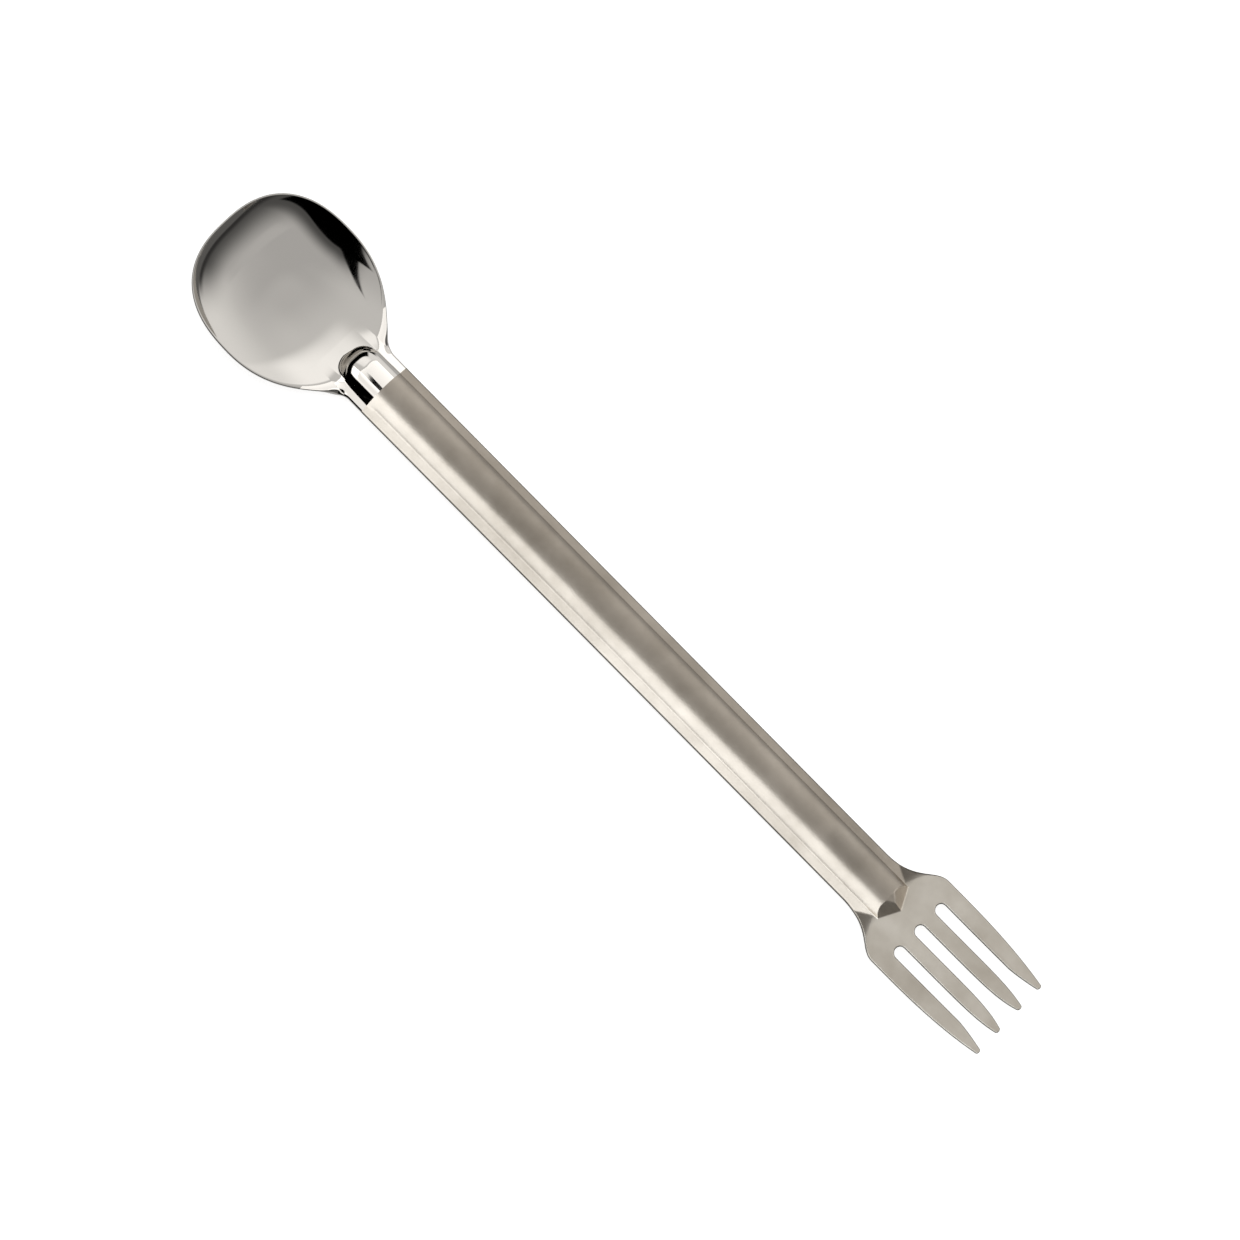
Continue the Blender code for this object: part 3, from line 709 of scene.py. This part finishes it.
def studio_world():
    """A grey studio by direction, with soft cards and flags. A camera sees plain white."""
    world = bpy.data.worlds.new("studio")
    bpy.context.scene.world = world
    world.use_nodes = True
    tree = world.node_tree
    background = tree.nodes["Background"]
    direction = node(tree, "ShaderNodeTexCoord").outputs["Generated"]
    parts = node(tree, "ShaderNodeSeparateXYZ", None, {"Vector": direction})
    x, y, z = parts.outputs

    def calculate(operation, *values):
        inputs = {place: value for place, value in enumerate(values)}
        return node(tree, "ShaderNodeMath", {"operation": operation}, inputs).outputs[0]

    def ramp(value, start, end):
        inputs = {"Value": value, "From Min": math.radians(start), "From Max": math.radians(end)}
        return node(tree, "ShaderNodeMapRange", {"interpolation_type": "SMOOTHSTEP"},
                    inputs).outputs[0]

    def window(value, first, last, soft):
        rising = ramp(value, first - soft, first + soft)
        return calculate("MULTIPLY", rising, ramp(value, last + soft, last - soft))

    azimuth = calculate("ARCTAN2", y, x)
    tilt = calculate("ARCCOSINE", z)
    along = calculate("ARCTAN2", x, z)
    lean = calculate("ARCTAN2", calculate("MULTIPLY", y, -1.0), z)
    level = CEILING
    for slant, (first, last, soft), (near, far, blur), radiance in STUDIO_CARDS:
        if slant is None:
            middle, half = math.radians(first + last) / 2, (last - first) / 2
            off = calculate("WRAP", calculate("SUBTRACT", azimuth, middle), math.pi, -math.pi)
            sideways = ramp(calculate("ABSOLUTE", off), half + soft, half - soft)
            share = calculate("MULTIPLY", sideways, window(tilt, near, far, blur))
        else:
            sideways = window(along, first, last, soft)
            slanted = calculate("SUBTRACT", lean, calculate("MULTIPLY", along, slant))
            share = calculate("MULTIPLY", sideways, window(slanted, near, far, blur))
        level = node(tree, "ShaderNodeMix", {"data_type": "FLOAT"},
                     {"Factor": share, "A": level, "B": radiance}).outputs["Result"]
    place = node(tree, "ShaderNodeCombineXYZ", None, {"X": along, "Y": lean, "Z": 1.0})
    for corners in FLAG_PRONGS:
        inside = None
        for start, end in zip(corners, corners[1:] + corners[:1]):
            step = math.dist(start, end)
            across = ((end[1] - start[1]) / step, (start[0] - end[0]) / step)
            shift = -math.radians(across[0] * start[0] + across[1] * start[1])
            depth = node(tree, "ShaderNodeVectorMath", {"operation": "DOT_PRODUCT"},
                         {0: place.outputs[0], 1: (*across, shift)}).outputs["Value"]
            inside = depth if inside is None else calculate("MINIMUM", inside, depth)
        level = node(tree, "ShaderNodeMix", {"data_type": "FLOAT"},
                     {"Factor": ramp(inside, -PRONG_EASE, PRONG_EASE), "A": level,
                      "B": 0.0}).outputs["Result"]
    seen = node(tree, "ShaderNodeLightPath").outputs["Is Camera Ray"]
    level = node(tree, "ShaderNodeMix", {"data_type": "FLOAT"},
                 {"Factor": seen, "A": level, "B": 1.0}).outputs["Result"]
    tree.links.new(level, background.inputs["Strength"])
    background.inputs["Color"].default_value = (1, 1, 1, 1)


def pale_floor():
    """A pale paper floor, lifted to white for the camera. Mirror reflections look past it."""
    material = bpy.data.materials.new("pale_paper")
    material.use_nodes = True
    tree = material.node_tree
    shader = tree.nodes["Principled BSDF"]
    shader.inputs["Base Color"].default_value = colour("#e6e6e4")
    shader.inputs["Roughness"].default_value = 0.9
    seen = node(tree, "ShaderNodeLightPath").outputs["Is Camera Ray"]
    lift = node(tree, "ShaderNodeMath", {"operation": "MULTIPLY"}, {0: seen, 1: FLOOR_LIFT})
    glow = node(tree, "ShaderNodeEmission", None, {"Strength": lift.outputs[0]})
    both = node(tree, "ShaderNodeAddShader")
    tree.links.new(shader.outputs["BSDF"], both.inputs[0])
    tree.links.new(glow.outputs[0], both.inputs[1])
    tree.links.new(both.outputs[0], tree.nodes["Material Output"].inputs["Surface"])
    corners = [(FLOOR_HALF * x, FLOOR_HALF * y, 0) for x, y in ((-1, -1), (1, -1), (1, 1), (-1, 1))]
    mesh = bpy.data.meshes.new("floor")
    mesh.from_pydata(corners, [], [(0, 1, 2, 3)])
    mesh.materials.append(material)
    floor = bpy.data.objects.new("floor", mesh)
    bpy.context.scene.collection.objects.link(floor)
    floor.visible_glossy = False


def black_card(name, corners, casts):
    """A black card over four corners. Only reflections see it, and only its front.

    A card that casts also keeps the lamps' light from what lies behind it.
    """
    material = bpy.data.materials.new(name)
    material.use_nodes = True
    tree = material.node_tree
    shader = tree.nodes["Principled BSDF"]
    shader.inputs["Base Color"].default_value = (0, 0, 0, 1)
    shader.inputs["Specular IOR Level"].default_value = 0
    behind = node(tree, "ShaderNodeNewGeometry").outputs["Backfacing"]
    clear = node(tree, "ShaderNodeBsdfTransparent")
    either = node(tree, "ShaderNodeMixShader", None, {"Fac": behind})
    tree.links.new(shader.outputs["BSDF"], either.inputs[1])
    tree.links.new(clear.outputs["BSDF"], either.inputs[2])
    tree.links.new(either.outputs[0], tree.nodes["Material Output"].inputs["Surface"])
    mesh = bpy.data.meshes.new(name)
    mesh.from_pydata(corners, [], [(0, 1, 2, 3)])
    mesh.materials.append(material)
    card = bpy.data.objects.new(name, mesh)
    bpy.context.scene.collection.objects.link(card)
    card.visible_camera = False
    card.visible_diffuse = False
    card.visible_transmission = False
    card.visible_shadow = casts


def soft_box(name, place, aim, size, power, lit, past_floor=False, tint="#ffffff"):
    """A rectangular lamp at a place, facing its aim, for some pieces only.

    A lamp past the floor shines through it, and only those pieces stand in its way.
    """
    data = bpy.data.lights.new(name, "AREA")
    data.shape = "RECTANGLE"
    data.size, data.size_y = size
    data.energy = power
    data.color = colour(tint)[:3]
    lamp = bpy.data.objects.new(name, data)
    bpy.context.scene.collection.objects.link(lamp)
    back = (Vector(place) - Vector(aim)).normalized()
    lamp.matrix_world = Matrix.Translation(place) @ back.to_track_quat("Z", "Y").to_matrix().to_4x4()
    lamp.visible_camera = False
    group = bpy.data.collections.new(name + "_lights")
    for piece in lit:
        group.objects.link(piece)
    lamp.light_linking.receiver_collection = group
    if past_floor:
        lamp.light_linking.blocker_collection = group


def studio_lamps(pieces):
    """Soft boxes for the matt handle and fork, and two that whiten the polished neck."""
    matt = [piece for name, piece in pieces.items() if not name.startswith("spoon")]
    fork = [piece for piece in matt if piece is not pieces["handle"]]
    neck = [pieces["spoon_neck"]]
    soft_box("key_panel", place=(0, -0.3, 0.1), aim=(0, 0, 0.1), size=(0.8, 0.48), power=3.5,
             lit=matt, past_floor=True, tint="#eff5fc")
    soft_box("fork_panel", place=(0.22, 0.12, 0.06), aim=(0.07, 0, 0), size=(0.16, 0.1),
             power=0.062, lit=fork)
    soft_box("neck_canopy", place=(0.195, 0.305, 0.2), aim=(0.195, 0.305, 0), size=(0.67, 0.79),
             power=1.41, lit=neck)
    soft_box("neck_side", place=(0.065, -0.295, 0.2), aim=(0.065, -0.295, 0), size=(0.93, 0.41),
             power=1.62, lit=neck)


def photo_camera():
    """The photograph's camera: above the sheet, rolled to its -Y side and turned in frame."""
    up_y = Vector((0, math.cos(CAMERA_ROLL), math.sin(CAMERA_ROLL)))
    back = Vector((0, -math.sin(CAMERA_ROLL), math.cos(CAMERA_ROLL)))
    right = math.cos(CAMERA_TURN) * Vector((1, 0, 0)) + math.sin(CAMERA_TURN) * up_y
    up = -math.sin(CAMERA_TURN) * Vector((1, 0, 0)) + math.cos(CAMERA_TURN) * up_y
    middle = Vector(to_world(np.zeros(3)))
    target = middle + AIM_RIGHT * right + AIM_UP * up
    data = bpy.data.cameras.new("camera")
    data.sensor_width = SENSOR
    data.lens = SENSOR * CAMERA_DISTANCE / FRAME_WIDTH
    data.clip_start, data.clip_end = NEAREST, FARTHEST
    camera = bpy.data.objects.new("camera", data)
    bpy.context.scene.collection.objects.link(camera)
    camera.matrix_world = Matrix.Translation(target + CAMERA_DISTANCE * back) @ Matrix(
        (right, up, back)).transposed().to_4x4()
    bpy.context.scene.camera = camera


def main_pieces():
    """The nine sections of the sheet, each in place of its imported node."""
    polished, blasted = polished_titanium(), blasted_titanium()
    pieces = {}

    def section(node_name, plan, height, material):
        piece = formed_sheet("formed_" + node_name, plan, height, material)
        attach(piece, "root")
        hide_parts(node_name)
        pieces[node_name] = piece

    section("spoon_bowl", bowl_plan(), sheet_height, polished)
    neck_x = steps(BOWL_SEAM_X, POLISH_X, FINE_GRID)
    section("spoon_neck", join(((band_rows(neck_x, GRID), False),)), sheet_height, polished)
    handle_x = steps(POLISH_X, FLARE_SEAM_X, HANDLE_GRID)
    section("handle", join(((band_rows(handle_x, GRID), False),)), sheet_height, blasted)
    flare_x = steps(FLARE_SEAM_X, PALM_SEAM_X, FINE_GRID)
    section("fork_neck", join(((band_rows(flare_x, FINE_GRID), False),)), sheet_height, blasted)
    section("fork_palm", palm_plan(), sheet_height, blasted)
    slot = SLOT_WIDTH / 2
    outer = (TINE_PITCH + slot, FORK_WIDTH / 2, OUTER_TIP_SPREAD / 2, OUTER_TINE_TAPER)
    inner = (slot, TINE_PITCH - slot, INNER_TIP_SPREAD / 2, INNER_TINE_TAPER)
    for number, form, side in ((1, outer, 1), (2, inner, 1), (3, inner, -1), (4, outer, -1)):
        section(f"tine_{number}", tine_plan(*form, side), tine_height, blasted)
    return pieces


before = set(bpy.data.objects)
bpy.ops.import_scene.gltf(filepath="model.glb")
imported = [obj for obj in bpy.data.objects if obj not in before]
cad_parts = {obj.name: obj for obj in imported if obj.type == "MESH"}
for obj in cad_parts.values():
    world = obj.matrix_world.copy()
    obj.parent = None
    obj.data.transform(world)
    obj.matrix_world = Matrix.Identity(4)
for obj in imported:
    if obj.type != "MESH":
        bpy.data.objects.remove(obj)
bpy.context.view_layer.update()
bpy.context.scene.view_settings.view_transform = "Standard"

sections = main_pieces()
studio_world()
pale_floor()
studio_lamps(sections)
black_card("ridge_card", RIDGE_CARD, casts=True)
black_card("fork_card", FORK_CARD, casts=False)
photo_camera()
